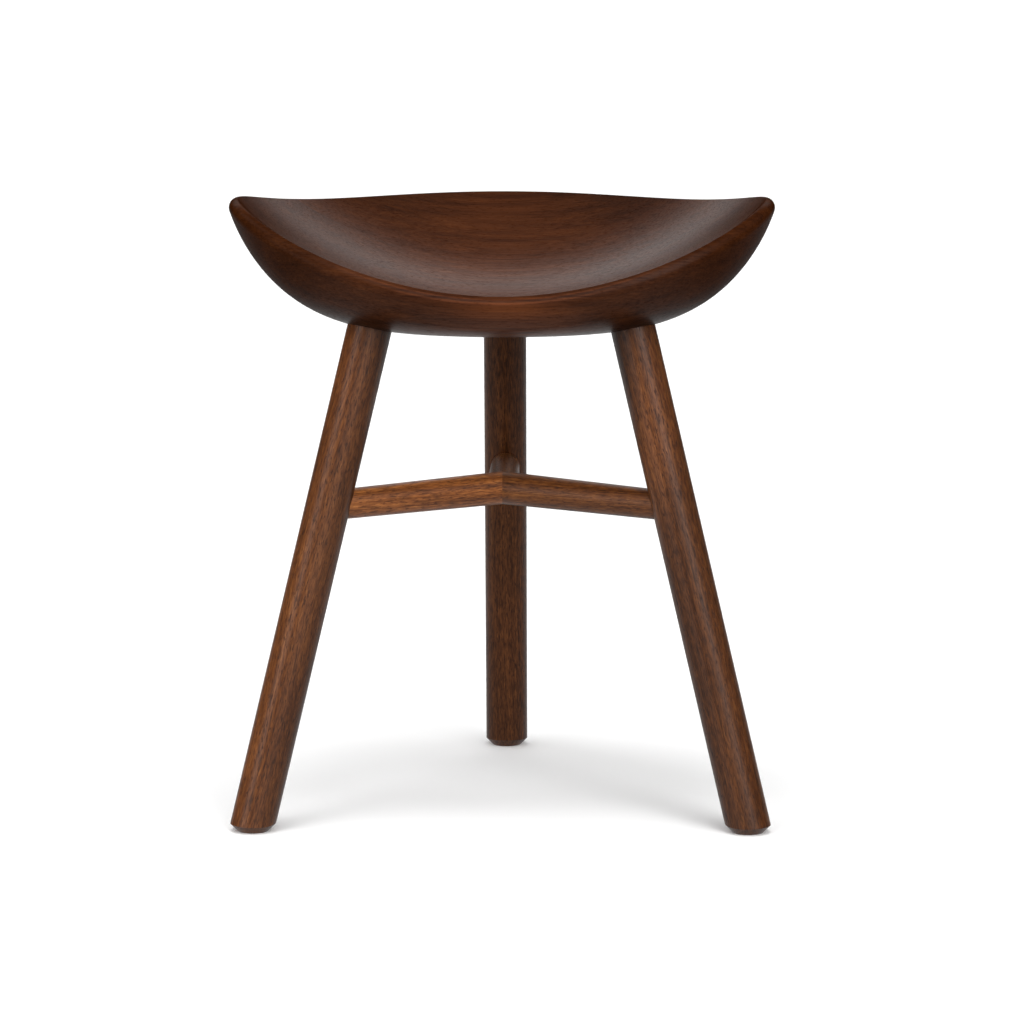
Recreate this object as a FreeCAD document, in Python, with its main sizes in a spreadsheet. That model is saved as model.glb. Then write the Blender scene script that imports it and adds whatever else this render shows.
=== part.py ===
"""Low three-legged stool with a carved seat and a Y stretcher, all in wood and glued, with no moving parts.

The seat is a blank of staves, glued up and then carved outside and on top. Three round legs run at full
diameter into blind sockets under it. Three tapered arms join the legs below: each has a round tenon in
its leg, and the arms meet in a mitre on the stool's axis, with a dowel hidden across each mitre face.

Millimetres. +Z is up, the floor is at z = 0, the front faces -Y and the origin is under the middle of the
stool's box. Heights and reaches in the sheet are measured from the floor and from the stool's own axis.
"""
import FreeCAD, Part
import math
import os

import Sketcher
from FreeCAD import Vector

DRIVING_SIZES = {
    # Outside of the seat, at the top of its blank and down to its underside
    "seat_half_width": 219,
    "widest_line_y": -33.7,
    "front_reach": 122.6,
    "back_reach": 193.6,
    "underside_height": 383.5,
    "blank_allowance": 5,
    # How full the outside is: 2 is an ellipse, and more is squarer
    "side_fullness": 3.88,
    "front_fullness": 4.3,
    "back_fullness": 3.82,
    "wall_fullness": 1.5,
    "top_plan_fullness": 1.98,
    "bottom_plan_fullness": 2.175,
    # Dish carved into the top
    "dish_thickness": 26.8,
    "dish_low_y": -44.4,
    "tip_rise": 90,
    "back_rise": 83.6,
    # Rim: a slanting land as wide as this, with a crisp edge to the dish and rolled over to the outside
    "rim_width": 9.7,
    "rim_edge_turn": 45,
    "rim_edge_radius": 1.5,
    # Staves that the blank is glued from
    "stave_width": 48,
    "middle_glue_line_y": 16.5,
    # Legs
    "leg_diameter": 35,
    "foot_circle_radius": 225,
    "socket_circle_radius": 120.5,
    "socket_depth": 23,
    "leg_top_chamfer": 2,
    "foot_chamfer_height": 5.5,
    "foot_flat_diameter": 24.5,
    # Y stretcher
    "hub_height": 255,
    "hub_rise": 3,
    "hub_diameter": 26.4,
    "arm_end_diameter": 23.4,
    "arm_tenon_diameter": 16,
    "tenon_past_leg_axis": 4,
    # Dowels across the mitre
    "dowel_diameter": 6,
    "dowel_length": 13,
    "dowel_offset": 8.5,
    "dowel_chamfer": 0.6,
    # Room for glue around and past the end of each tenon
    "glue_gap": 0.1,
    "end_gap": 1,
}

FULL_TURN = 360
QUARTER_TURN = 90
ARM_COUNT = 3
SECTOR = FULL_TURN / ARM_COUNT
AZIMUTHS = {"rear": 90, "front_left": 210, "front_right": 330}
MITRES = {"front": 270, "right": 30, "left": 150}
STAVES = ("1_front", "2", "3", "4", "5", "6_back")

# Grid of the seat's skin: columns round the plan, rows from the dish over the rim to the underside
SKIN_COLUMNS = 64
DISH_ROWS = 11
EDGE_ROWS = 5
ROLL_ROWS = 7
OUTSIDE_ROWS = 14
OUTLINE_STEPS = 400
HALVINGS = 50
DISH_CENTRE_SHARE = 0.03
UNDERSIDE_CENTRE_SHARE = 0.12
LOWEST_RIM_DROP = 0.999

doc = FreeCAD.newDocument("stool")
sheet = doc.addObject("Spreadsheet::Sheet", "Sizes")
for row, (alias, value) in enumerate(DRIVING_SIZES.items(), start=1):
    sheet.set(f"A{row}", alias)
    sheet.set(f"B{row}", str(value))
    sheet.setAlias(f"B{row}", alias)
doc.recompute()


def size(alias):
    """One driving size from the sheet."""
    return float(sheet.get(alias))


def value_of(expression):
    """The number that an expression on the sheet gives."""
    result = sheet.evalExpression(expression)
    return float(getattr(result, "Value", result))


# Expressions that several pieces share
LEG_RADIUS = "Sizes.leg_diameter / 2"
SPLAY = "atan((Sizes.foot_circle_radius - Sizes.socket_circle_radius) / Sizes.underside_height)"
ARM_END_HEIGHT = "(Sizes.hub_height - Sizes.hub_rise)"
ARM_END_RADIUS = f"(Sizes.foot_circle_radius - {ARM_END_HEIGHT} * tan({SPLAY}))"
ARM_DIP = f"atan(Sizes.hub_rise / {ARM_END_RADIUS})"
ARM_LENGTH = f"({ARM_END_RADIUS} / cos({ARM_DIP}))"
HUB_RADIUS = "Sizes.hub_diameter / 2"

# Each foot is eased by an upright cone, which widens by this much for each millimetre up
FLAT_RADIUS = "Sizes.foot_flat_diameter / 2"
FOOT_FLARE = f"(({LEG_RADIUS} - {FLAT_RADIUS}) / Sizes.foot_chamfer_height)"
FOOT_SHIFT = f"(-Sizes.foot_chamfer_height * tan({SPLAY}))"


def foot_reach(outward, sideways):
    """How far a foot reaches from the stool's axis along a direction, given by its shares of the leg's own.

    It is furthest where the easing cone meets the side of the leg.
    """
    lean = f"tan({SPLAY}) * {outward}"
    spread = f"sqrt(({LEG_RADIUS} / cos({SPLAY}) * {outward})^2 + ({LEG_RADIUS} * {sideways})^2)"
    meeting_height = f"({spread} - {FOOT_SHIFT} * {outward} - {FLAT_RADIUS}) / ({FOOT_FLARE} + {lean})"
    return f"(Sizes.foot_circle_radius * {outward} + {spread} - {meeting_height} * {lean})"


# The box's middle lies behind the axis, because one foot stands further back than two stand forward
FORWARD = f"(-sin({AZIMUTHS['front_right']}))"
SIDEWAYS = f"cos({AZIMUTHS['front_right']})"
AXIS_Y = f"(({foot_reach(FORWARD, SIDEWAYS)} - {foot_reach('1', '0')}) / 2)"


def place(piece, x, y, height, yaw="0", pitch="0"):
    """Stand a piece at a point given from the stool's axis, turned about Z and tipped about its own Y."""
    base = f"vector({x}; {y} + {AXIS_Y}; {height})"
    piece.setExpression("Placement", f"placement({base}; rotation({yaw}; {pitch}; 0))")


def primitive(kind, name, **sizes):
    """A Part primitive or operation with its sizes bound to the sheet."""
    piece = doc.addObject(kind, name)
    for prop, expression in sizes.items():
        piece.setExpression(prop, str(expression))
    return piece


def cut(name, base, tools):
    """What is left of base once every tool has been taken out of it."""
    tool = tools[0]
    if len(tools) > 1:
        tool = doc.addObject("Part::MultiFuse", f"{name}_tools")
        tool.Shapes = tools
    piece = doc.addObject("Part::Cut", name)
    piece.Base = base
    piece.Tool = tool
    return piece


def label(piece, name):
    """Give a finished sub-part the name of its node."""
    piece.Label = name
    return piece


# Seat

HULL_TOP = (size("underside_height") + size("dish_thickness") + size("tip_rise")
            + size("blank_allowance"))
HULL_DROP = HULL_TOP - size("underside_height")
DISH_LOW = size("underside_height") + size("dish_thickness")


def arc_radius(reach, rise):
    """Radius of the arc that leaves level ground and has climbed rise after reach."""
    return (reach ** 2 + rise ** 2) / (2 * rise)


DISH_BACK_REACH = size("widest_line_y") + size("back_reach") - size("dish_low_y")
CROSS_RADIUS = arc_radius(size("seat_half_width"), size("tip_rise"))
LENGTH_RADIUS = arc_radius(DISH_BACK_REACH, size("back_rise"))


def arc_climb(radius, reach):
    """Height that an arc of this radius gains over reach."""
    return radius - math.sqrt(max(radius ** 2 - reach ** 2, 0))


def dish_point(x, y):
    """Point of the dish: an arc across carried along an arc from front to back."""
    climb = arc_climb(CROSS_RADIUS, x) + arc_climb(LENGTH_RADIUS, y - size("dish_low_y"))
    return Vector(x, y, DISH_LOW + climb)


def from_front_to_back(front, back, angle):
    """A value that goes smoothly from its front one to its back one, by the angle round the plan."""
    turn = math.sin(math.pi / 2 * math.sin(angle))
    return (front + back) / 2 + (back - front) / 2 * turn


def reach_at(angle):
    """How far the plan reaches to the front or back of its widest line."""
    return from_front_to_back(size("front_reach"), size("back_reach"), angle)


def outside_point(drop, angle):
    """Point of the seat's outside, drop from 0 at the blank's top to 1 underneath, angle round the plan.

    Every level is a superellipse about the widest line, with its own reach to the side, front and back.
    Towards the underside the reaches shrink and the plan grows squarer.
    """
    left_over = 1 - drop ** size("wall_fullness")
    side_share = left_over ** (1 / size("side_fullness"))
    fullness = from_front_to_back(size("front_fullness"), size("back_fullness"), angle)
    reach_share = left_over ** (1 / fullness)
    squareness = size("top_plan_fullness")
    squareness += (size("bottom_plan_fullness") - size("top_plan_fullness")) * drop
    sideways = abs(math.cos(angle)) / side_share
    lengthways = abs(math.sin(angle)) / reach_share
    scale = (sideways ** squareness + lengthways ** squareness) ** (-1 / squareness)
    return Vector(scale * size("seat_half_width") * math.cos(angle),
                  size("widest_line_y") + scale * reach_at(angle) * math.sin(angle),
                  HULL_TOP - HULL_DROP * drop)


def bisect(is_before, low, high):
    """The value between low and high where is_before stops being true."""
    for _ in range(HALVINGS):
        middle = (low + high) / 2
        if is_before(middle):
            low = middle
        else:
            high = middle
    return (low + high) / 2


def rim_drop(angle):
    """How far down the outside the dish breaks through it, at one angle round the plan."""
    def above_dish(drop):
        point = outside_point(drop, angle)
        return point.z > dish_point(point.x, point.y).z
    return bisect(above_dish, 0, LOWEST_RIM_DROP)


def spaced(points, count):
    """Points evenly spaced by length along a fine polyline, both ends included."""
    lengths = [0.0]
    for before, after in zip(points, points[1:]):
        lengths.append(lengths[-1] + before.distanceToPoint(after))
    result = []
    index = 1
    for step in range(count):
        wanted = lengths[-1] * step / (count - 1)
        while index < len(points) - 1 and lengths[index] < wanted:
            index += 1
        span = lengths[index] - lengths[index - 1]
        share = (wanted - lengths[index - 1]) / span
        result.append(points[index - 1] + (points[index] - points[index - 1]) * share)
    return result


def beyond(points, distance):
    """What is left of a fine polyline past the point at a distance along it."""
    travelled = 0.0
    index = 0
    while travelled <= distance and index < len(points) - 1:
        index += 1
        step = points[index - 1].distanceToPoint(points[index])
        travelled += step
    share = (travelled - distance) / step
    return [points[index] + (points[index - 1] - points[index]) * share] + points[index:]


def rounded(start, corner, end):
    """Fine polyline of an arc that leaves start and reaches end, and touches both sides of their corner."""
    weight = math.sin((start - corner).getAngle(end - corner) / 2)
    points = []
    for step in range(OUTLINE_STEPS + 1):
        share = step / OUTLINE_STEPS
        at_start = (1 - share) ** 2
        at_corner = 2 * share * (1 - share) * weight
        at_end = share ** 2
        total = at_start + at_corner + at_end
        points.append((start * at_start + corner * at_corner + end * at_end) * (1 / total))
    return points


def dish_line(corner):
    """Fine polyline from the rim's corner down the dish to near its lowest point.

    It ends level with that point, so that the profiles meet in a small flat there.
    """
    middle_y = size("dish_low_y")
    points = []
    for step in range(OUTLINE_STEPS + 1):
        share = 1 - (1 - DISH_CENTRE_SHARE) * step / OUTLINE_STEPS
        points.append(dish_point(corner.x * share, middle_y + (corner.y - middle_y) * share))
    points[-1].z = DISH_LOW
    return points


def outside_line(start, angle):
    """Fine polyline from the rim's corner down the outside to near the middle of the underside."""
    last = (1 - UNDERSIDE_CENTRE_SHARE ** size("side_fullness")) ** (1 / size("wall_fullness"))
    turn_start = math.asin(start ** (size("wall_fullness") / 2))
    turn_end = math.asin(last ** (size("wall_fullness") / 2))
    points = []
    for step in range(OUTLINE_STEPS + 1):
        turn = turn_start + (turn_end - turn_start) * step / OUTLINE_STEPS
        points.append(outside_point(math.sin(turn) ** (2 / size("wall_fullness")), angle))
    return points


def profile(angle):
    """One cut through the seat's skin, in four zones: dish, crisp edge, roll of the rim and outside.

    The rim's land cuts off the sharp corner between dish and outside. It turns off the dish by a set angle,
    and the law of sines gives where it leaves the dish and where it meets the outside.
    """
    start = rim_drop(angle)
    corner = outside_point(start, angle)
    dish = dish_line(corner)
    outside = outside_line(start, angle)
    wedge = (dish[1] - corner).getAngle(outside[1] - corner)
    edge_turn = math.radians(size("rim_edge_turn"))
    roll_turn = math.pi - wedge - edge_turn
    dish = beyond(dish, size("rim_width") * math.sin(roll_turn) / math.sin(wedge))
    outside = beyond(outside, size("rim_width") * math.sin(edge_turn) / math.sin(wedge))
    inner_corner, outer_corner = dish[0], outside[0]
    land = outer_corner - inner_corner
    set_back = size("rim_edge_radius") * math.tan(edge_turn / 2)
    on_land = inner_corner + land * (set_back / land.Length)
    dish = beyond(dish, set_back)
    outside = beyond(outside, land.Length - set_back)
    return (spaced(dish[::-1], DISH_ROWS),
            spaced(rounded(dish[0], inner_corner, on_land), EDGE_ROWS),
            spaced(rounded(on_land, outer_corner, outside[0]), ROLL_ROWS),
            spaced(outside, OUTSIDE_ROWS))


def mean_chords(columns):
    """Knot values for the rows: mean distance along the columns."""
    knots = [0.0]
    for row in range(1, len(columns[0])):
        chords = [column[row - 1].distanceToPoint(column[row]) for column in columns]
        knots.append(knots[-1] + sum(chords) / len(chords))
    return knots


def zone_surface(columns):
    """One spline surface through the same zone of every profile, closed round the plan, and its last row."""
    turns = [float(column) for column in range(SKIN_COLUMNS + 1)]
    rings = []
    for row in range(len(columns[0])):
        ring = Part.BSplineCurve()
        ring.interpolate(Points=[column[row] for column in columns], PeriodicFlag=True, Parameters=turns)
        rings.append(ring)
    rows = mean_chords(columns)
    poles = []
    for pole_column in zip(*[ring.getPoles() for ring in rings]):
        rib = Part.BSplineCurve()
        rib.interpolate(Points=list(pole_column), Parameters=rows)
        poles.append(rib.getPoles())
    ring = rings[0]
    surface = Part.BSplineSurface()
    surface.buildFromPolesMultsKnots(poles, ring.getMultiplicities(), rib.getMultiplicities(),
                                     ring.getKnots(), rib.getKnots(), True, False,
                                     ring.Degree, rib.Degree)
    return surface, rows[-1]


def seat_solid():
    """The carved seat: left and right halves of each zone of its skin, closed by two small flats."""
    angles = [math.pi / 2 + 2 * math.pi * column / SKIN_COLUMNS for column in range(SKIN_COLUMNS)]
    zones = [zone_surface(columns) for columns in zip(*[profile(angle) for angle in angles])]
    halves = ((0, SKIN_COLUMNS / 2), (SKIN_COLUMNS / 2, SKIN_COLUMNS))
    faces = []
    for surface, last_row in zones:
        for start, end in halves:
            patch = surface.copy()
            patch.segment(start, end, 0, last_row)
            faces.append(patch.toShape())
    dish, underside = zones[0][0], zones[-1][0]
    for ring in (dish.vIso(0), underside.vIso(zones[-1][1])):
        edges = [ring.toShape(start, end) for start, end in halves]
        faces.append(Part.Face(Part.Wire(edges)))
    shell = Part.makeShell(faces)
    shell.sewShape()
    return Part.makeSolid(shell)


seat = doc.addObject("Part::Feature", "carved_seat")
seat.Shape = seat_solid()
place(seat, "0", "0", "0")
doc.recompute()


# Legs

def inside_outline(x, y, height):
    """Whether a point lies within the seat's outside form."""
    behind = y - size("widest_line_y")
    angle = math.atan2(behind, x)
    for _ in range(HALVINGS):
        angle = math.atan2(behind / reach_at(angle), x / size("seat_half_width"))
    edge = outside_point((HULL_TOP - height) / HULL_DROP, angle)
    return math.hypot(x, behind) < math.hypot(edge.x, edge.y - size("widest_line_y"))


def leg_length(azimuth):
    """Length of a leg on its axis, from the floor to the depth of its socket in the seat."""
    splay = math.radians(value_of(SPLAY))
    turn = math.radians(azimuth)

    def below_seat(height):
        radius = size("foot_circle_radius") - height * math.tan(splay)
        return not inside_outline(radius * math.cos(turn), radius * math.sin(turn), height)

    entry = bisect(below_seat, size("underside_height"), DISH_LOW + size("tip_rise"))
    return entry / math.cos(splay) + size("socket_depth")


def outline_sketch(body, name, corners):
    """Closed outline on a body's XZ plane, each corner tied to the body's origin by two expressions."""
    sketch = body.newObject("Sketcher::SketchObject", name)
    plane = [feature for feature in body.Origin.OriginFeatures if feature.Role == "XZ_Plane"]
    sketch.AttachmentSupport = [(plane[0], "")]
    sketch.MapMode = "FlatFace"
    points = [Vector(value_of(x), value_of(y), 0) for x, y in corners]
    count = len(points)
    for index in range(count):
        sketch.addGeometry(Part.LineSegment(points[index], points[(index + 1) % count]), False)
    for index in range(count):
        sketch.addConstraint(Sketcher.Constraint("Coincident", index, 2, (index + 1) % count, 1))
    for index, ((x, y), point) in enumerate(zip(corners, points)):
        if x == "0":
            sketch.addConstraint(Sketcher.Constraint("PointOnObject", index, 1, -2))
        else:
            tie = sketch.addConstraint(Sketcher.Constraint("DistanceX", -1, 1, index, 1, point.x))
            sketch.setExpression(f"Constraints[{tie}]", x)
        tie = sketch.addConstraint(Sketcher.Constraint("DistanceY", -1, 1, index, 1, point.y))
        sketch.setExpression(f"Constraints[{tie}]", y)
    return sketch


def turned_body(name, corners):
    """A body turned about its own Z from an outline of radius and height expressions."""
    body = doc.addObject("PartDesign::Body", name)
    turned = body.newObject("PartDesign::Revolution", f"{name}_turned")
    turned.Profile = outline_sketch(body, f"{name}_outline", corners)
    turned.ReferenceAxis = (turned.Profile[0], ["V_Axis"])
    turned.Angle = FULL_TURN
    doc.recompute()
    return body


def foot_point(azimuth):
    """Where a leg's axis meets the floor, from the stool's axis."""
    return f"Sizes.foot_circle_radius * cos({azimuth})", f"Sizes.foot_circle_radius * sin({azimuth})", "0"


def upright(out, height):
    """A point on a leg's own plane, level distance out from its floor point and height above the floor."""
    return (f"({out}) * cos({SPLAY}) + ({height}) * sin({SPLAY})",
            f"({height}) * cos({SPLAY}) - ({out}) * sin({SPLAY})")


def leg(name, azimuth):
    """One leg: a turned rod with its foot sawn level and eased by a cone, and a mortise for its arm."""
    length = leg_length(azimuth)
    waste = f"-Sizes.leg_diameter * tan({SPLAY})"
    top = f"{length} - Sizes.leg_top_chamfer"
    body = turned_body(f"leg_{name}", [
        ("0", waste), (LEG_RADIUS, waste), (LEG_RADIUS, top),
        (f"{LEG_RADIUS} - Sizes.leg_top_chamfer", str(length)), ("0", str(length))])

    below = f"-2 * Sizes.leg_diameter * tan({SPLAY})"
    flat_edge = f"{FOOT_SHIFT} + {FLAT_RADIUS}"
    clear_edge = f"{FOOT_SHIFT} + Sizes.leg_diameter"
    clear_height = f"(Sizes.leg_diameter - {FLAT_RADIUS}) / {FOOT_FLARE}"
    sawn = body.newObject("PartDesign::Groove", f"leg_{name}_foot_cut")
    sawn.Profile = outline_sketch(body, f"leg_{name}_foot_outline", [
        upright(FOOT_SHIFT, below), upright(FOOT_SHIFT, "0"), upright(flat_edge, "0"),
        upright(clear_edge, clear_height), upright(clear_edge, below)])
    sawn.ReferenceAxis = (sawn.Profile[0], ["Edge1"])
    sawn.Angle = FULL_TURN
    doc.recompute()

    tilt = f"({SPLAY} + {ARM_DIP})"
    crossing = f"{ARM_END_HEIGHT} / cos({SPLAY})"
    depth = "(Sizes.tenon_past_leg_axis + Sizes.end_gap)"
    bore = "(Sizes.arm_tenon_diameter / 2 + Sizes.glue_gap)"
    floor_point = (f"{depth} * cos({tilt})", f"{crossing} - {depth} * sin({tilt})")
    mouth_point = (f"-Sizes.leg_diameter * cos({tilt})", f"{crossing} + Sizes.leg_diameter * sin({tilt})")
    corners = [floor_point, mouth_point]
    for x, y in (mouth_point, floor_point):
        corners.append((f"{x} + {bore} * sin({tilt})", f"{y} + {bore} * cos({tilt})"))
    mortise = body.newObject("PartDesign::Groove", f"leg_{name}_mortise")
    mortise.Profile = outline_sketch(body, f"leg_{name}_mortise_outline", corners)
    mortise.ReferenceAxis = (mortise.Profile[0], ["Edge1"])
    mortise.Angle = FULL_TURN
    doc.recompute()

    place(body, *foot_point(azimuth), yaw=azimuth, pitch=f"-{SPLAY}")
    return label(body, f"leg_{name}")


def leg_room(name, azimuth):
    """The space that a leg takes with its glue: the seat's socket and the hollow end of its arm."""
    room = primitive("Part::Cylinder", f"leg_room_{name}", Radius=f"{LEG_RADIUS} + Sizes.glue_gap",
                     Height=f"{leg_length(azimuth)} + Sizes.end_gap")
    place(room, *foot_point(azimuth), yaw=azimuth, pitch=f"-{SPLAY}")
    return room


# Y stretcher

def arm_point(azimuth, distance):
    """Point on an arm's axis at a distance out from the stool's axis."""
    out = f"{distance} * cos({ARM_DIP})"
    height = f"Sizes.hub_height - {distance} * sin({ARM_DIP})"
    return f"{out} * cos({azimuth})", f"{out} * sin({azimuth})", height


def arm(name, azimuth, room, dowel_holes):
    """One arm: a cone mitred at the axis, hollowed to fit its leg, with a tenon and its dowel holes."""
    pitch = f"{QUARTER_TURN} deg + {ARM_DIP}"
    rod = primitive("Part::Cone", f"rod_{name}", Radius1=HUB_RADIUS, Radius2="Sizes.arm_end_diameter / 2",
                    Height=f"{ARM_LENGTH} + {HUB_RADIUS}")
    place(rod, *arm_point(azimuth, f"(-{HUB_RADIUS})"), yaw=azimuth, pitch=pitch)
    sector = primitive("Part::Cylinder", f"sector_{name}", Radius="Sizes.foot_circle_radius",
                       Height="2 * Sizes.hub_diameter", Angle=SECTOR)
    place(sector, "0", "0", "Sizes.hub_height - Sizes.hub_diameter", yaw=azimuth - SECTOR / 2)
    mitred = doc.addObject("Part::Common", f"mitred_{name}")
    mitred.Base = rod
    mitred.Tool = sector
    fitted = cut(f"fitted_{name}", mitred, [room])
    tenon = primitive("Part::Cylinder", f"tenon_{name}", Radius="Sizes.arm_tenon_diameter / 2",
                      Height="Sizes.leg_diameter + Sizes.tenon_past_leg_axis")
    place(tenon, *arm_point(azimuth, f"({ARM_LENGTH} - Sizes.leg_diameter)"), yaw=azimuth, pitch=pitch)
    whole = doc.addObject("Part::MultiFuse", f"whole_{name}")
    whole.Shapes = [fitted, tenon]
    return label(cut(f"stretcher_{name}", whole, dowel_holes), f"stretcher_{name}")


def dowel_place(piece, azimuth, half_length):
    """Lay a dowel or its hole square across the mitre face at this azimuth."""
    across = azimuth + QUARTER_TURN
    x = f"Sizes.dowel_offset * cos({azimuth}) - {half_length} * cos({across})"
    y = f"Sizes.dowel_offset * sin({azimuth}) - {half_length} * sin({across})"
    place(piece, x, y, "Sizes.hub_height", yaw=across, pitch=QUARTER_TURN)


def dowel(name, azimuth):
    """One dowel with both ends chamfered."""
    radius = "Sizes.dowel_diameter / 2"
    end = "Sizes.dowel_length"
    chamfer = "Sizes.dowel_chamfer"
    body = turned_body(f"mitre_dowel_{name}", [
        ("0", "0"), (f"{radius} - {chamfer}", "0"), (radius, chamfer), (radius, f"{end} - {chamfer}"),
        (f"{radius} - {chamfer}", end), ("0", end)])
    dowel_place(body, azimuth, f"{end} / 2")
    return label(body, f"mitre_dowel_{name}")


def dowel_hole(name, azimuth):
    """The bored hole that a dowel lies in, half in each of two arms."""
    half_length = "(Sizes.dowel_length / 2 + Sizes.end_gap)"
    hole = primitive("Part::Cylinder", f"dowel_hole_{name}", Height=f"2 * {half_length}",
                     Radius="Sizes.dowel_diameter / 2 + Sizes.glue_gap")
    dowel_place(hole, azimuth, half_length)
    return hole


# Staves

def stave(index, name, seat_with_sockets):
    """One stave of the seat: the carved seat between two glue lines."""
    front = f"(Sizes.middle_glue_line_y + {index - len(STAVES) // 2} * Sizes.stave_width)"
    back = f"({front} + Sizes.stave_width)"
    if index == 0:
        front = "(Sizes.widest_line_y - Sizes.front_reach)"
    if index == len(STAVES) - 1:
        back = "(Sizes.widest_line_y + Sizes.back_reach)"
    board = primitive("Part::Box", f"board_{name}", Length="2 * Sizes.seat_half_width",
                      Width=f"{back} - {front}",
                      Height="Sizes.dish_thickness + Sizes.tip_rise + 2 * Sizes.blank_allowance")
    place(board, "-Sizes.seat_half_width", front, "Sizes.underside_height - Sizes.blank_allowance")
    piece = doc.addObject("Part::Common", f"seat_stave_{name}")
    piece.Base = seat_with_sockets
    piece.Tool = board
    return label(piece, f"seat_stave_{name}")


def check(piece):
    """Stop if a sub-part failed to build or isn't one valid solid."""
    shape = piece.Shape
    if shape.isNull() or not shape.isValid() or len(shape.Solids) != 1:
        raise RuntimeError(f"{piece.Label} is not one valid solid")


rooms = {name: leg_room(name, azimuth) for name, azimuth in AZIMUTHS.items()}
holes = [dowel_hole(name, azimuth) for name, azimuth in MITRES.items()]
seat_with_sockets = cut("seat_with_sockets", seat, list(rooms.values()))

pieces = [stave(index, name, seat_with_sockets) for index, name in enumerate(STAVES)]
pieces += [leg(name, azimuth) for name, azimuth in AZIMUTHS.items()]
pieces += [arm(name, azimuth, rooms[name], holes) for name, azimuth in AZIMUTHS.items()]
pieces += [dowel(name, azimuth) for name, azimuth in MITRES.items()]
doc.recompute()

for thing in doc.Objects:
    if "Invalid" in thing.State or "Error" in thing.State:
        raise RuntimeError(f"{thing.Label} failed to build: {thing.State}")
for piece in pieces:
    check(piece)

os.makedirs("parts", exist_ok=True)
for piece in pieces:
    piece.Shape.exportStep(f"parts/{piece.Label}.step")
    box = piece.Shape.optimalBoundingBox()
    print(f"{piece.Label}: {box.XLength:.2f} x {box.YLength:.2f} x {box.ZLength:.2f} mm")
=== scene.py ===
"""Low three-legged stool in dark stained wood: the finishes, the light and the camera around its solids."""

import logging
import math
from dataclasses import dataclass
from enum import Enum
from typing import Any, Mapping, Optional, Sequence, Union

import bpy
import numpy as np
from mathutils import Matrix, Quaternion, Vector


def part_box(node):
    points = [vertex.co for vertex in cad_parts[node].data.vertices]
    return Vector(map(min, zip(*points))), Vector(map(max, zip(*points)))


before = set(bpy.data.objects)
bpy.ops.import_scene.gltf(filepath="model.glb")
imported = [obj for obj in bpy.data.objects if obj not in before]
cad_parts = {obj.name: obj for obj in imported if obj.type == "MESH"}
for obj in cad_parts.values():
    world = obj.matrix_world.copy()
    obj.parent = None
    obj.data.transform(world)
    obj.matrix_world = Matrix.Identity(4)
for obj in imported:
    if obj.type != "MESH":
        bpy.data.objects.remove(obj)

LOG = logging.getLogger("stool")
Colour = tuple[float, float, float]
Place = tuple[float, float, float]
Input = Union["Value", float, Sequence[float]]

UP = Vector((0.0, 0.0, 1.0))
WHITE = (1.0, 1.0, 1.0, 1.0)
NOISE_MEAN = 0.5
RAMP_MIDDLE = 0.5
HALF_TURN = 180.0
QUARTER_TURN = 90.0

# Sockets of a Mix node for colours, whose names occur more than once
MIX_FACTOR, MIX_FIRST, MIX_SECOND, MIX_RESULT = 0, 6, 7, 2

# The legs and arms stand at equal angles about an upright line, which meets the floor here
THREE_FOLD_CENTRE = Vector((0.0, -0.05605, 0.0))


class Value:
    """An output socket that takes part in Python arithmetic by adding Math nodes."""

    def __init__(self, shader: "Shader", socket: bpy.types.NodeSocket) -> None:
        """Wrap one output socket of a shader's tree."""
        self.shader = shader
        self.socket = socket

    def _math(self, operation: str, first: Input, second: Input) -> "Value":
        """One Math node on two inputs."""
        return self.shader.node("ShaderNodeMath", {"operation": operation}, {0: first, 1: second})

    def __add__(self, other: Input) -> "Value":
        """Sum."""
        return self._math("ADD", self, other)

    def __radd__(self, other: Input) -> "Value":
        """Sum with a number on the left."""
        return self._math("ADD", other, self)

    def __sub__(self, other: Input) -> "Value":
        """Difference."""
        return self._math("SUBTRACT", self, other)

    def __rsub__(self, other: Input) -> "Value":
        """Difference with a number on the left."""
        return self._math("SUBTRACT", other, self)

    def __mul__(self, other: Input) -> "Value":
        """Product."""
        return self._math("MULTIPLY", self, other)

    def __rmul__(self, other: Input) -> "Value":
        """Product with a number on the left."""
        return self._math("MULTIPLY", other, self)

    def __truediv__(self, other: Input) -> "Value":
        """Quotient."""
        return self._math("DIVIDE", self, other)

    def __pow__(self, other: Input) -> "Value":
        """Power."""
        return self._math("POWER", self, other)

    def __abs__(self) -> "Value":
        """Size without its sign."""
        return self.shader.node("ShaderNodeMath", {"operation": "ABSOLUTE"}, {0: self})


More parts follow.
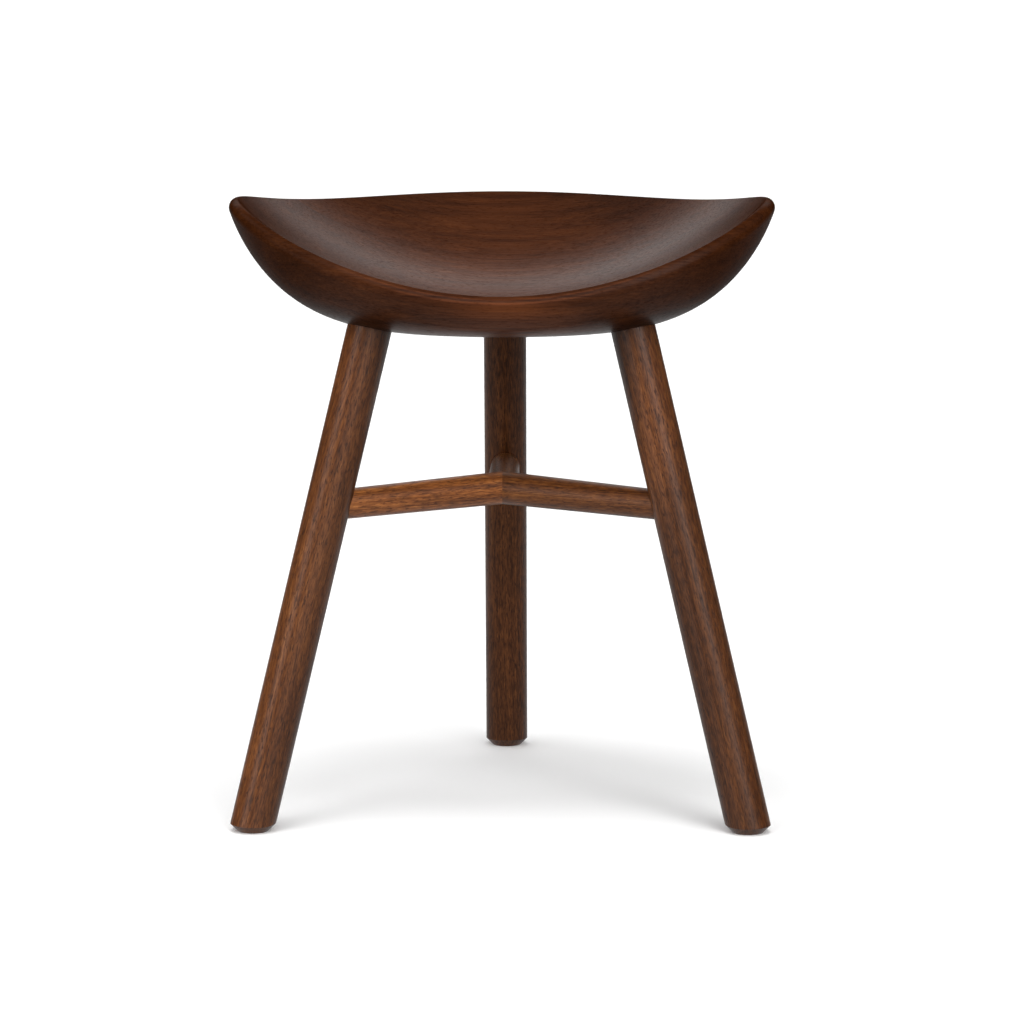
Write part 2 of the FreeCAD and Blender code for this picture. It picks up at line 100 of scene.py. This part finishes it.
class Shader:
    """The node tree of one procedural material, or of the sky."""

    def __init__(self, owner: Union[bpy.types.Material, bpy.types.World], surface: str) -> None:
        """Take over a fresh node tree.

        Args:
            owner: The new material or world.
            surface: The name of the node that its output shows.
        """
        owner.use_nodes = True
        self.owner = owner
        self.tree = owner.node_tree
        self.surface = self.tree.nodes[surface]

    @classmethod
    def for_material(cls, name: str) -> "Shader":
        """A new material's shader."""
        return cls(bpy.data.materials.new(name), "Principled BSDF")

    @classmethod
    def for_sky(cls, name: str) -> "Shader":
        """A new world's shader."""
        return cls(bpy.data.worlds.new(name), "Background")

    def node(self, kind: str, settings: Mapping[str, Any], inputs: Mapping[Any, Input],
             output: Union[str, int] = 0) -> Value:
        """Add any node.

        Args:
            kind: The node's type.
            settings: Properties to set first. The key "stops" holds a ramp's (place, colour) pairs.
            inputs: Values or links of its sockets, by name or index.
            output: Which output to give back.

        Returns:
            The output, ready for arithmetic.
        """
        node = self.tree.nodes.new(kind)
        for name, value in settings.items():
            if name == "stops":
                self._set_stops(node.color_ramp, value)
            else:
                setattr(node, name, value)
        for name, value in inputs.items():
            self._feed(node.inputs[name], value)
        return Value(self, node.outputs[output])

    def feed(self, name: str, value: Input) -> None:
        """Set or link one socket of the surface node."""
        self._feed(self.surface.inputs[name], value)

    def _feed(self, socket: bpy.types.NodeSocket, value: Input) -> None:
        """Set or link one socket.

        Args:
            socket: The input socket.
            value: A link's source, or what the socket is set to.
        """
        if isinstance(value, Value):
            self.tree.links.new(value.socket, socket)
        else:
            socket.default_value = value

    @staticmethod
    def _set_stops(ramp: bpy.types.ColorRamp, stops: Sequence[tuple[float, Colour]]) -> None:
        """Give a colour ramp its stops.

        Args:
            ramp: The ramp of a fresh node.
            stops: Pairs of place and colour, from left to right.
        """
        while len(ramp.elements) < len(stops):
            ramp.elements.new(1.0)
        for element, (place, colour) in zip(ramp.elements, stops):
            element.position = place
            element.color = (*colour, 1.0)

    def object_coordinates(self) -> Value:
        """Where a point lies on its piece, in metres."""
        return self.node("ShaderNodeTexCoord", {}, {}, "Object")

    def split(self, vector: Value) -> tuple[Value, ...]:
        """The three parts of a vector."""
        parts = self.node("ShaderNodeSeparateXYZ", {}, {0: vector}).socket.node.outputs
        return tuple(Value(self, part) for part in parts)

    def dot(self, vector: Value, other: Sequence[float]) -> Value:
        """The dot product of two vectors."""
        return self.node("ShaderNodeVectorMath", {"operation": "DOT_PRODUCT"},
                         {0: vector, 1: other}, "Value")

    def noise(self, vector: Value, cell: Sequence[float], detail: float, output: str) -> Value:
        """Smooth noise.

        Args:
            vector: Coordinates in metres.
            cell: About how long its blotches are along each axis, in metres.
            detail: Octaves of finer noise on top.
            output: "Fac" for a value about NOISE_MEAN, or "Color" for three of them.

        Returns:
            The noise.
        """
        per_metre = [1 / side for side in cell]
        cells = self.node("ShaderNodeVectorMath", {"operation": "MULTIPLY"}, {0: vector, 1: per_metre})
        return self.node("ShaderNodeTexNoise", {}, {"Vector": cells, "Scale": 1.0, "Detail": detail}, output)

    def ramp(self, value: Value, low: float, high: float) -> Value:
        """A smooth step from 0 at low to 1 at high."""
        return self.node("ShaderNodeMapRange", {"interpolation_type": "SMOOTHSTEP"},
                         {"Value": value, "From Min": low, "From Max": high})

    def reaches(self, vector: Value, centre: Place, reach: Place) -> Value:
        """Distance from a centre, as a share of the reach along each axis: 1 on an ellipsoid."""
        scaled = self.node("ShaderNodeMapping", {"vector_type": "TEXTURE"},
                           {"Vector": vector, "Location": centre, "Scale": reach})
        return self.node("ShaderNodeVectorMath", {"operation": "LENGTH"}, {0: scaled}, "Value")


class BoardToneAndLight(Enum):
    """How light a piece is painted, as a factor: its board's take of the stain, and on the front-left leg
    and arm also painted light.
    """

    LIGHT = 1.55
    FAIR = 1.25
    MIDDLE = 1.0
    DARK = 0.90


@dataclass(frozen=True)
class GrainLine:
    """How a piece lies in its board: middle, fibres' direction, pith, shift along them, tone, painted lit
    side.
    """

    middle: Place
    along: Place
    pith: tuple[float, float]
    shift: float
    tone: BoardToneAndLight = BoardToneAndLight.MIDDLE
    painted_lit_side: Place = (0.0, 0.0, 0.0)

    def turn(self) -> Quaternion:
        """Turn that carries +Z to the fibres' direction."""
        return Vector(self.along).to_track_quat("Z", "Y")

    def origin(self) -> Place:
        """The middle, shifted far along the fibres so that no two pieces share their figure."""
        return tuple(Vector(self.middle) + Vector(self.along).normalized() * self.shift)

    def painted_lit_axis(self) -> Place:
        """The painted lit side's direction square to the fibres, as the turned grain sees it.

        Returns:
            A direction of length 1, or nothing but zeros where the piece has no painted lit side.
        """
        along = Vector(self.along).normalized()
        # The side painted lighter, as if the light fell on it.
        pale = Vector(self.painted_lit_side)
        square = pale - along * along.dot(pale)
        return tuple(self.turn().inverted() @ square.normalized())


@dataclass(frozen=True)
class LightAndShadePatch:
    """A soft patch painted lighter, or darker where the gain is negative: painted light and shade on the
    legs.
    """

    name: str
    centre: Place
    reach: Place
    gain: float

    def strength(self, shader: Shader, objects: Value) -> Value:
        """The gain at the centre, falling smoothly to nothing at the reach along each axis."""
        return shader.ramp(shader.reaches(objects, self.centre, self.reach), 1.0, 0.0) * self.gain


@dataclass(frozen=True)
class PaintedHighlightLine:
    """A thin painted highlight on the front rim: a line painted lighter. It rises as the square of the way
    out to the side.
    """

    name: str
    height: float
    half_width: float
    reach: float
    gain: float
    rise: float = 1.53
    full_share: float = 0.5
    back: float = -0.14
    back_softness: float = 0.01

    def strength(self, shader: Shader, objects: Value) -> Value:
        """The gain on the line, falling smoothly to nothing at its half width, its reach and its back.

        Args:
            shader: The material's shader.
            objects: Object coordinates.

        Returns:
            How much lighter the painted highlight makes the colour.
        """
        side, depth, height = shader.split(objects)
        off = height - (side * side * self.rise + self.height)
        line = shader.ramp(off * off, self.half_width ** 2, 0.0)
        near = shader.ramp(side * side, self.reach ** 2, (self.reach * self.full_share) ** 2)
        front = shader.ramp(depth, self.back, self.back - self.back_softness)
        return line * near * front * self.gain


Mark = Union[LightAndShadePatch, PaintedHighlightLine]


@dataclass(frozen=True)
class EndGrain:
    """Where a seat's fibres end on its outside: beyond an ellipsoid that fills the dish, near either end."""

    centre: Place = (0.0, -0.06, 0.49)
    reach: Place = (0.205, 0.13, 0.09)
    outside: float = 1.05
    side_inner: float = 0.11
    side_outer: float = 0.17

    def mask(self, shader: Shader, objects: Value) -> Value:
        """0 to 1 from the ellipsoid outwards, times 0 to 1 from side_inner to side_outer."""
        beyond = shader.ramp(shader.reaches(objects, self.centre, self.reach), 1.0, self.outside)
        return beyond * shader.ramp(abs(shader.split(objects)[0]), self.side_inner, self.side_outer)


@dataclass(frozen=True)
class Fibres:
    """Noise drawn out along the grain: its cell across and along the fibres in metres, and its octaves."""

    across: float
    along: float
    detail: float

    def noise(self, shader: Shader, local: Value, output: str = "Fac") -> Value:
        """The noise at coordinates whose Z runs along the fibres."""
        return shader.noise(local, (self.across, self.across, self.along), self.detail, output)


@dataclass(frozen=True)
class Figure:
    """The grain's marks over one piece. Fibre, streak and drift swing about 0, the rest run from 0 to 1."""

    ring: Value
    fibre: Value
    vein: Value
    streak: Value
    drift: Value
    pore: Value


@dataclass(frozen=True)
class StainedWood:
    """Dark stained wood under a satin oil: rings, fibres, veins, open pores and slow drifts of tone."""

    stain: Colour = (0.094, 0.0312, 0.0094)
    shades: Sequence[tuple[float, Colour]] = ((0.10, (0.22, 0.21, 0.30)), (0.38, (0.72, 0.70, 0.74)),
                                              (0.62, (1.22, 1.24, 1.22)), (0.92, (2.20, 2.55, 2.60)))
    middle_tone: float = 0.52

    waves: Fibres = Fibres(0.05, 0.22, 1.0)
    wave_reach: float = 0.014
    ring_width: float = 0.0026
    ring_sharpness: float = 3.0
    ring_depth: float = 0.10
    fibres: Fibres = Fibres(0.0011, 0.008, 3.0)
    fibre_depth: float = 1.0
    veins: Fibres = Fibres(0.0020, 0.016, 2.0)
    vein_edges: tuple[float, float] = (0.56, 0.68)
    vein_depth: float = 0.35
    streaks: Fibres = Fibres(0.0045, 0.16, 2.0)
    streak_depth: float = 0.5
    drifts: Fibres = Fibres(0.045, 0.20, 1.0)
    drift_depth: float = 0.4
    pores: Fibres = Fibres(0.0009, 0.005, 1.0)
    pore_edges: tuple[float, float] = (0.58, 0.68)
    pore_depth: float = 0.7

    # Painted light: how wide the change is across a piece, and how much lighter its lit side is painted.
    painted_lit_half_width: float = 0.018
    painted_lit_depth: float = 0.55
    ends: Optional[EndGrain] = None
    end_darkness: float = 0.2
    end_dryness: float = 0.75

    roughness: float = 0.32
    ring_dullness: float = 0.04
    pore_dullness: float = 0.14
    streak_dullness: float = 0.10
    gloss: float = 0.26
    film: float = 0.0
    film_index: float = 1.19
    film_roughness: float = 0.31
    film_pore_loss: float = 0.4
    film_fibre_gain: float = 0.8
    relief_strength: float = 0.25
    relief_height: float = 0.00025
    fibre_relief: float = 0.5
    ring_relief: float = 0.25

    def material(self, name: str, grain: GrainLine, marks: Sequence[Mark] = ()) -> bpy.types.Material:
        """Build the material for one piece.

        The grain is solid, so end grain shows wherever the surface crosses the fibres.

        Args:
            name: The material's name.
            grain: How the piece lies in its board.
            marks: Patches and lines painted lighter or darker, most of them painted light, shade and
                highlights.

        Returns:
            The new material.
        """
        shader = Shader.for_material(name)
        objects = shader.object_coordinates()
        local = shader.node("ShaderNodeMapping", {"vector_type": "TEXTURE"},
                            {"Vector": objects, "Location": grain.origin(),
                             "Rotation": tuple(grain.turn().to_euler())})
        figure = self._figure(shader, local, grain.pith)
        ends: Input = self.ends.mask(shader, objects) if self.ends else 0.0
        # Painted light: the lit side is painted lighter and the far side darker.
        side = shader.ramp(shader.dot(local, grain.painted_lit_axis()), -self.painted_lit_half_width, self.painted_lit_half_width)
        level = (1.0 + (side - RAMP_MIDDLE) * self.painted_lit_depth) * grain.tone.value
        level = level * (1.0 - ends * self.end_darkness) * (1.0 - figure.vein * self.vein_depth)
        # Painted light and shade: each mark makes the colour lighter or darker.
        for mark in marks:
            level = level * (1.0 + mark.strength(shader, objects))
            level.socket.node.label = mark.name
        film = 1.0 - figure.pore * self.film_pore_loss + figure.fibre * self.film_fibre_gain

        shader.feed("Base Color", self._colour(shader, figure, level))
        shader.feed("Roughness", self.roughness + figure.ring * self.ring_dullness
                    + figure.pore * self.pore_dullness + figure.streak * self.streak_dullness)
        shader.feed("Normal", self._relief(shader, figure))
        shader.feed("Specular IOR Level", self.gloss)
        shader.feed("Coat Weight", (1.0 - ends * self.end_dryness) * film * self.film)
        shader.feed("Coat IOR", self.film_index)
        shader.feed("Coat Roughness", self.film_roughness)
        return shader.owner

    def _figure(self, shader: Shader, local: Value, pith: tuple[float, float]) -> Figure:
        """Read the marks of the grain.

        Rings are cylinders about the pith, and the other marks are noise drawn out along the fibres.
        Slow noise waves all of them but the drifts.

        Args:
            shader: The material's shader.
            local: Coordinates whose Z runs along the fibres.
            pith: Where the middle of the tree lay across the fibres.

        Returns:
            The marks.
        """
        bent = shader.node("ShaderNodeVectorMath", {"operation": "MULTIPLY_ADD"},
                           {0: self.waves.noise(shader, local, "Color"),
                            1: (self.wave_reach, self.wave_reach, 0.0), 2: local})
        return Figure(
            ring=self._ring(shader, bent, pith),
            fibre=self.fibres.noise(shader, bent) - NOISE_MEAN,
            vein=shader.ramp(self.veins.noise(shader, bent), *self.vein_edges),
            streak=self.streaks.noise(shader, bent) - NOISE_MEAN,
            drift=self.drifts.noise(shader, local) - NOISE_MEAN,
            pore=shader.ramp(self.pores.noise(shader, bent), *self.pore_edges),
        )

    def _ring(self, shader: Shader, local: Value, pith: tuple[float, float]) -> Value:
        """Late wood of the yearly rings, 0 to 1.

        Args:
            shader: The material's shader.
            local: Coordinates whose Z runs along the fibres.
            pith: Where the rings' common axis lies across the fibres.

        Returns:
            The share of a ring's width that is passed at each distance from the pith, sharpened by a power.
        """
        across, through, _ = shader.split(local)
        across, through = across - pith[0], through - pith[1]
        distance = (across * across + through * through) ** 0.5
        phase = shader.node("ShaderNodeMath", {"operation": "FRACT"}, {0: distance / self.ring_width})
        return phase ** self.ring_sharpness

    def _colour(self, shader: Shader, figure: Figure, level: Value) -> Value:
        """The stain's colour.

        Args:
            shader: The material's shader.
            figure: The marks of the grain.
            level: How light the colour is painted, as a factor, painted light and shade included.

        Returns:
            The shade for the grain's tone times the level, with the darkest shade in the pores.
        """
        tone = self.middle_tone + figure.fibre * self.fibre_depth + figure.streak * self.streak_depth
        tone = tone + figure.drift * self.drift_depth - figure.ring * self.ring_depth
        stops = [(place, tuple(share * part for share, part in zip(shade, self.stain)))
                 for place, shade in self.shades]
        darkest = (*stops[0][1], 1.0)
        shade = shader.node("ShaderNodeValToRGB", {"stops": stops}, {"Fac": tone})
        lit = shader.node("ShaderNodeVectorMath", {"operation": "SCALE"}, {0: shade, "Scale": level})
        return shader.node("ShaderNodeMix", {"data_type": "RGBA"},
                           {MIX_FACTOR: figure.pore * self.pore_depth, MIX_FIRST: lit, MIX_SECOND: darkest},
                           MIX_RESULT)

    def _relief(self, shader: Shader, figure: Figure) -> Value:
        """The normal of a surface with raised fibres and sunken pores and rings."""
        height = figure.fibre * self.fibre_relief - figure.ring * self.ring_relief - figure.pore
        return shader.node("ShaderNodeBump", {}, {"Strength": self.relief_strength,
                                                  "Distance": self.relief_height, "Height": height})


def assign(name: str, material: bpy.types.Material) -> None:
    """Put one material on a whole piece and report it.

    Args:
        name: The piece's node.
        material: What it is finished with.
    """
    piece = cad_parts[name]
    piece.data.materials.clear()
    piece.data.materials.append(material)
    LOG.info("%s: %s", name, material.name)


def outwards(azimuth: float) -> Vector:
    """Level direction at an azimuth in degrees, from +X towards +Y."""
    return Vector((math.cos(math.radians(azimuth)), math.sin(math.radians(azimuth)), 0.0))


@dataclass
class Seat:
    """The carved seat, glued from staves whose fibres run from side to side."""

    staves: Sequence[str] = ("seat_stave_1_front", "seat_stave_2", "seat_stave_3",
                             "seat_stave_4", "seat_stave_5", "seat_stave_6_back")
    along: Place = (1.0, 0.0, 0.0)
    pith: tuple[float, float] = (0.03, 0.34)
    shift_step: float = 0.71
    finish: StainedWood = StainedWood(
        stain=(0.047, 0.0128, 0.0035), ring_depth=0.05,
        fibres=Fibres(0.0011, 0.09, 3.0), fibre_depth=0.55,
        veins=Fibres(0.0020, 0.18, 2.0), vein_depth=0.10,
        streaks=Fibres(0.006, 0.16, 2.0), streak_depth=0.55,
        drift_depth=0.3, pore_depth=0.25, ends=EndGrain(), roughness=0.5, gloss=0.0, film=1.0)
    marks: Sequence[Mark] = (
        # The middle, back, front and under-rim patches only make the seat lighter or darker in place.
        LightAndShadePatch("middle", (-0.012, -0.09, 0.43), (0.15, 0.26, 0.10), 0.55),
        LightAndShadePatch("back_left", (-0.105, 0.10, 0.48), (0.10, 0.09, 0.06), -0.40),
        LightAndShadePatch("back_right", (0.115, 0.09, 0.48), (0.11, 0.09, 0.06), -0.50),
        LightAndShadePatch("front", (0.008, -0.185, 0.408), (0.075, 0.06, 0.014), 0.90),
        LightAndShadePatch("under_rim", (0.020, -0.170, 0.428), (0.110, 0.035, 0.016), -0.40),
        # Painted light: the seat's lower front made lighter for the floor's bounce.
        LightAndShadePatch("painted_bounce_light_lower_front", (0.000, -0.150, 0.387), (0.130, 0.080, 0.019), 1.30),
        # Painted highlights: thin light lines along the front rim's crisp edge and along its roll below.
        PaintedHighlightLine("painted_highlight_rim_edge", 0.4188, 0.0009, 0.14, 0.70),
        PaintedHighlightLine("painted_highlight_rim_roll", 0.4158, 0.0011, 0.11, 0.75),
    )

    def dress(self) -> None:
        """Give every stave its own stretch of the same wood."""
        for count, name in enumerate(self.staves, start=1):
            low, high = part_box(name)
            grain = GrainLine(tuple((low + high) / 2), self.along, self.pith, self.shift_step * count)
            assign(name, self.finish.material(f"wood_{name}", grain, self.marks))


@dataclass(frozen=True)
class Leg:
    """One leg: its azimuth about the three-fold centre, its board, its finish and its marks."""

    name: str
    azimuth: float
    tone: BoardToneAndLight
    finish: StainedWood = StainedWood()
    painted_lit_side: Place = (0.0, 0.0, 0.0)
    marks: Sequence[Mark] = ()


@dataclass
class Legs:
    """Three splayed round legs. The rear one is rubbed duller than the front ones."""

    legs: Sequence[Leg] = (
        Leg("leg_rear", 90.0, BoardToneAndLight.DARK, StainedWood(gloss=0.12), marks=(
            # Painted light: the rear leg's lower half made lighter for the floor's bounce.
            LightAndShadePatch("painted_bounce_light_lower_half", (0.0, 0.135, 0.12), (0.06, 0.06, 0.10), 0.25),)),
        # Partly painted light: this leg's FAIR tone and its painted lit side stand for the stronger light
        # from the left.
        Leg("leg_front_left", 210.0, BoardToneAndLight.FAIR, painted_lit_side=(-0.97, -0.24, 0.0), marks=(
            # Painted shade on the inner side and on the top under the seat, painted light on the outer side.
            LightAndShadePatch("painted_shade_inner_side", (-0.083, -0.112, 0.39), (0.032, 0.06, 0.13), -0.50),
            LightAndShadePatch("top", (-0.100, -0.112, 0.415), (0.05, 0.06, 0.045), -0.40),
            LightAndShadePatch("painted_light_outer_side", (-0.125, -0.130, 0.36), (0.03, 0.06, 0.07), 0.30))),
        Leg("leg_front_right", 330.0, BoardToneAndLight.MIDDLE, marks=(
            # Painted light on the front side, painted shade on the inner side and on the top under the seat.
            LightAndShadePatch("painted_light_front_side", (0.117, -0.145, 0.33), (0.035, 0.032, 0.14), 1.00),
            LightAndShadePatch("painted_shade_inner_side", (0.083, -0.112, 0.37), (0.036, 0.06, 0.15), -0.65),
            LightAndShadePatch("top", (0.100, -0.112, 0.415), (0.05, 0.06, 0.035), -0.40))),
    )
    foot_circle_radius: float = 0.225
    splay: float = 15.243
    pith_side: float = 0.045
    pith_front: float = 0.03
    pith_step: float = 0.02
    first_shift: float = 0.53
    shift_step: float = 0.77

    def dress(self) -> None:
        """Run each leg's grain along its own axis."""
        for index, leg in enumerate(self.legs):
            out = outwards(leg.azimuth)
            foot = THREE_FOLD_CENTRE + out * self.foot_circle_radius
            along = (UP - out * math.tan(math.radians(self.splay))).normalized()
            pith = (self.pith_side, self.pith_front - self.pith_step * index)
            grain = GrainLine(tuple(foot), tuple(along), pith, self.first_shift + self.shift_step * index,
                              leg.tone, leg.painted_lit_side)
            assign(leg.name, leg.finish.material(f"wood_{leg.name}", grain, leg.marks))


@dataclass(frozen=True)
class Arm:
    """One arm of the stretcher: its azimuth about the three-fold centre and its board."""

    name: str
    azimuth: float
    tone: BoardToneAndLight


@dataclass
class Stretchers:
    """Three tapered arms that meet in a mitred Y, and the dowels hidden in the mitres."""

    arms: Sequence[Arm] = (Arm("stretcher_rear", 90.0, BoardToneAndLight.DARK),
                           # Partly painted light: this arm's LIGHT tone also stands for the stronger light
                           # from the left.
                           Arm("stretcher_front_left", 210.0, BoardToneAndLight.LIGHT),
                           Arm("stretcher_front_right", 330.0, BoardToneAndLight.DARK))
    hub_height: float = 0.255
    pith: tuple[float, float] = (0.02, 0.05)
    first_shift: float = 0.37
    shift_step: float = 0.91
    finish: StainedWood = StainedWood(stain=(0.160, 0.0520, 0.0136), vein_depth=0.45, streak_depth=0.8,
                                      pore_depth=0.65, roughness=0.34, gloss=0.28)
    dowels: Sequence[str] = ("mitre_dowel_front", "mitre_dowel_left", "mitre_dowel_right")
    dowel_pith: tuple[float, float] = (0.02, 0.02)
    dowel_first_shift: float = 0.2
    dowel_shift_step: float = 0.3
    dowel_finish: StainedWood = StainedWood(stain=(0.44, 0.29, 0.155), roughness=0.6,
                                            shades=((0.10, (0.5, 0.45, 0.4)), (0.92, (1.3, 1.4, 1.5))))

    def dress(self) -> None:
        """Run each arm's grain outwards from the hub, and give the dowels plain pale wood."""
        hub = THREE_FOLD_CENTRE + UP * self.hub_height
        for index, arm in enumerate(self.arms):
            shift = self.first_shift + self.shift_step * index
            grain = GrainLine(tuple(hub), tuple(outwards(arm.azimuth)), self.pith, shift, arm.tone)
            assign(arm.name, self.finish.material(f"wood_{arm.name}", grain))
        for index, name in enumerate(self.dowels):
            low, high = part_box(name)
            shift = self.dowel_first_shift + self.dowel_shift_step * index
            grain = GrainLine(tuple((low + high) / 2), tuple(high - low), self.dowel_pith, shift)
            assign(name, self.dowel_finish.material(f"wood_{name}", grain))


@dataclass(frozen=True)
class SkyPane:
    """A soft-edged pane of light far away. In degrees: azimuth 0 is the stool's front and 90 its right."""

    name: str
    azimuth: float
    half_width: float
    bottom: float
    top: float
    radiance: float
    softness: float

    def light(self, sky: Shader, azimuth: Value, elevation: Value) -> Value:
        """Its light in each direction.

        Args:
            sky: The sky's shader.
            azimuth: The direction's azimuth.
            elevation: The direction's height above the floor's edge.

        Returns:
            The radiance times a smooth step across every edge.
        """
        turned = sky.node("ShaderNodeMath", {"operation": "WRAP"},
                          {0: azimuth - self.azimuth, 1: HALF_TURN, 2: -HALF_TURN})
        across = sky.ramp(abs(turned), self.half_width + self.softness, self.half_width - self.softness)
        above = sky.ramp(elevation, self.bottom - self.softness, self.bottom + self.softness)
        below = sky.ramp(elevation, self.top + self.softness, self.top - self.softness)
        return across * above * below * self.radiance


@dataclass(frozen=True)
class HighLight:
    """A soft lamp high in front of the stool, which doesn't show in its polish. Angles are in degrees."""

    elevation: float = 81.0
    spread: float = 18.0
    strength: float = 1.0

    def build(self) -> None:
        """Make the lamp."""
        light = bpy.data.lights.new("high_light", "SUN")
        light.angle = math.radians(self.spread)
        light.energy = self.strength
        lamp = bpy.data.objects.new("high_light", light)
        lamp.rotation_euler = (math.radians(QUARTER_TURN - self.elevation), 0.0, 0.0)
        lamp.visible_glossy = False
        bpy.context.scene.collection.objects.link(lamp)
        LOG.info("lamp: %s", lamp.name)


@dataclass(frozen=True)
class Floor:
    """A wide disc of pale paper with a faint glow.

    Only the camera sees it. Its bounce and reflection are left to a pane that fills the sky's lower half.
    """

    radius: float = 60.0
    first_ring: float = 0.5
    rings: int = 8
    segments: int = 96
    colour: Colour = (0.95, 0.95, 0.95)
    roughness: float = 0.9
    gloss: float = 0.1
    glow: float = 0.08

    def build(self) -> None:
        """Make the disc and its paper."""
        floor = bpy.data.objects.new("floor", self._mesh())
        bpy.context.scene.collection.objects.link(floor)
        paper = Shader.for_material("floor_paper")
        paper.feed("Base Color", (*self.colour, 1.0))
        paper.feed("Roughness", self.roughness)
        paper.feed("Specular IOR Level", self.gloss)
        paper.feed("Emission Color", WHITE)
        paper.feed("Emission Strength", self.glow)
        floor.data.materials.append(paper.owner)
        floor.visible_glossy = False
        floor.visible_diffuse = False
        LOG.info("floor: %s", paper.owner.name)

    def _mesh(self) -> bpy.types.Mesh:
        """The disc: radius times cosine and sine of the angle, in rings about one point in the middle.

        Returns:
            The mesh. Each ring is wider than the one inside it by the same factor.
        """
        turns = np.linspace(0.0, 2 * np.pi, self.segments, endpoint=False)
        radii = np.geomspace(self.first_ring, self.radius, self.rings)
        ring = np.stack([np.cos(turns), np.sin(turns), np.zeros_like(turns)], axis=1)
        points = np.concatenate([np.zeros((1, 3)), (radii[:, None, None] * ring).reshape(-1, 3)])
        here = np.arange(self.segments)
        after = (here + 1) % self.segments
        fan = np.stack([np.zeros_like(here), 1 + here, 1 + after], axis=1)
        inner = 1 + self.segments * np.arange(self.rings - 1)[:, None]
        outer = inner + self.segments
        bands = np.stack([inner + here, outer + here, outer + after, inner + after], axis=-1)
        mesh = bpy.data.meshes.new("floor")
        mesh.from_pydata(points, [], fan.tolist() + bands.reshape(-1, 4).tolist())
        return mesh


@dataclass
class Studio:
    """A pale floor under a dark sky hung with soft panes of light."""

    floor: Floor = Floor()
    high_light: HighLight = HighLight()
    panes: Sequence[SkyPane] = (
        SkyPane("key", 20.0, 29.0, bottom=12.0, top=60.0, radiance=2.2, softness=6.0),
        SkyPane("right_core", 28.0, 9.0, bottom=8.0, top=55.0, radiance=2.6, softness=4.0),
        SkyPane("front_low", 20.0, 29.0, bottom=-2.0, top=12.0, radiance=0.7, softness=3.0),
        SkyPane("left_low", -48.0, 15.0, bottom=0.0, top=28.0, radiance=2.8, softness=5.0),
        SkyPane("left_high", -70.0, 50.0, bottom=40.0, top=62.0, radiance=2.3, softness=5.0),
        SkyPane("right_side", 80.0, 30.0, bottom=20.0, top=60.0, radiance=0.9, softness=5.0),
        SkyPane("back_low", 182.0, 32.0, bottom=22.0, top=34.0, radiance=0.9, softness=4.0),
        SkyPane("back_middle", 182.0, 32.0, bottom=27.0, top=46.0, radiance=1.1, softness=8.0),
        SkyPane("back_left", 202.0, 18.0, bottom=22.0, top=36.0, radiance=0.5, softness=4.0),
        SkyPane("overhead", 0.0, 200.0, bottom=60.0, top=100.0, radiance=0.35, softness=4.0),
        SkyPane("floor_bounce", 0.0, 200.0, bottom=-100.0, top=-2.0, radiance=0.68, softness=1.0),
    )

    def build(self) -> None:
        """Make the floor, the sky and the lamp."""
        self.floor.build()
        self._sky()
        self.high_light.build()

    def _sky(self) -> None:
        """The sum of all panes, by the direction's azimuth and its elevation above the floor."""
        sky = Shader.for_sky("sky")
        right, back, up = sky.split(sky.node("ShaderNodeTexCoord", {}, {}, "Generated"))
        turn = sky.node("ShaderNodeMath", {"operation": "ARCTAN2"}, {0: right, 1: 0.0 - back})
        rise = sky.node("ShaderNodeMath", {"operation": "ARCSINE"}, {0: up})
        azimuth, elevation = turn * math.degrees(1.0), rise * math.degrees(1.0)
        light: Input = 0.0
        for pane in self.panes:
            light = light + pane.light(sky, azimuth, elevation)
            LOG.info("pane of light: %s", pane.name)
        sky.feed("Color", WHITE)
        sky.feed("Strength", light)
        bpy.context.scene.world = sky.owner


@dataclass(frozen=True)
class Viewpoint:
    """A long lens in front of the stool, above its seat and looking down at it. Angles are in radians."""

    place: Place = (0.0553, -3.46776, 0.758)
    pitch: float = 0.152
    pan: float = 0.014
    focal_length: float = 151.73
    sensor_width: float = 36.0

    def build(self) -> None:
        """Make the scene's camera."""
        camera = bpy.data.cameras.new("camera")
        camera.lens = self.focal_length
        camera.sensor_width = self.sensor_width
        eye = bpy.data.objects.new("camera", camera)
        eye.location = self.place
        eye.rotation_euler = (math.pi / 2 - self.pitch, 0.0, self.pan)
        bpy.context.scene.collection.objects.link(eye)
        bpy.context.scene.camera = eye
        LOG.info("camera: %.1f mm lens", camera.lens)


def main() -> None:
    """Dress the stool, light it and aim the camera."""
    logging.basicConfig(level=logging.INFO)
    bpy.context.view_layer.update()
    Seat().dress()
    Legs().dress()
    Stretchers().dress()
    Studio().build()
    Viewpoint().build()
    bpy.context.scene.view_settings.view_transform = "Standard"


if __name__ == "__main__":
    main()
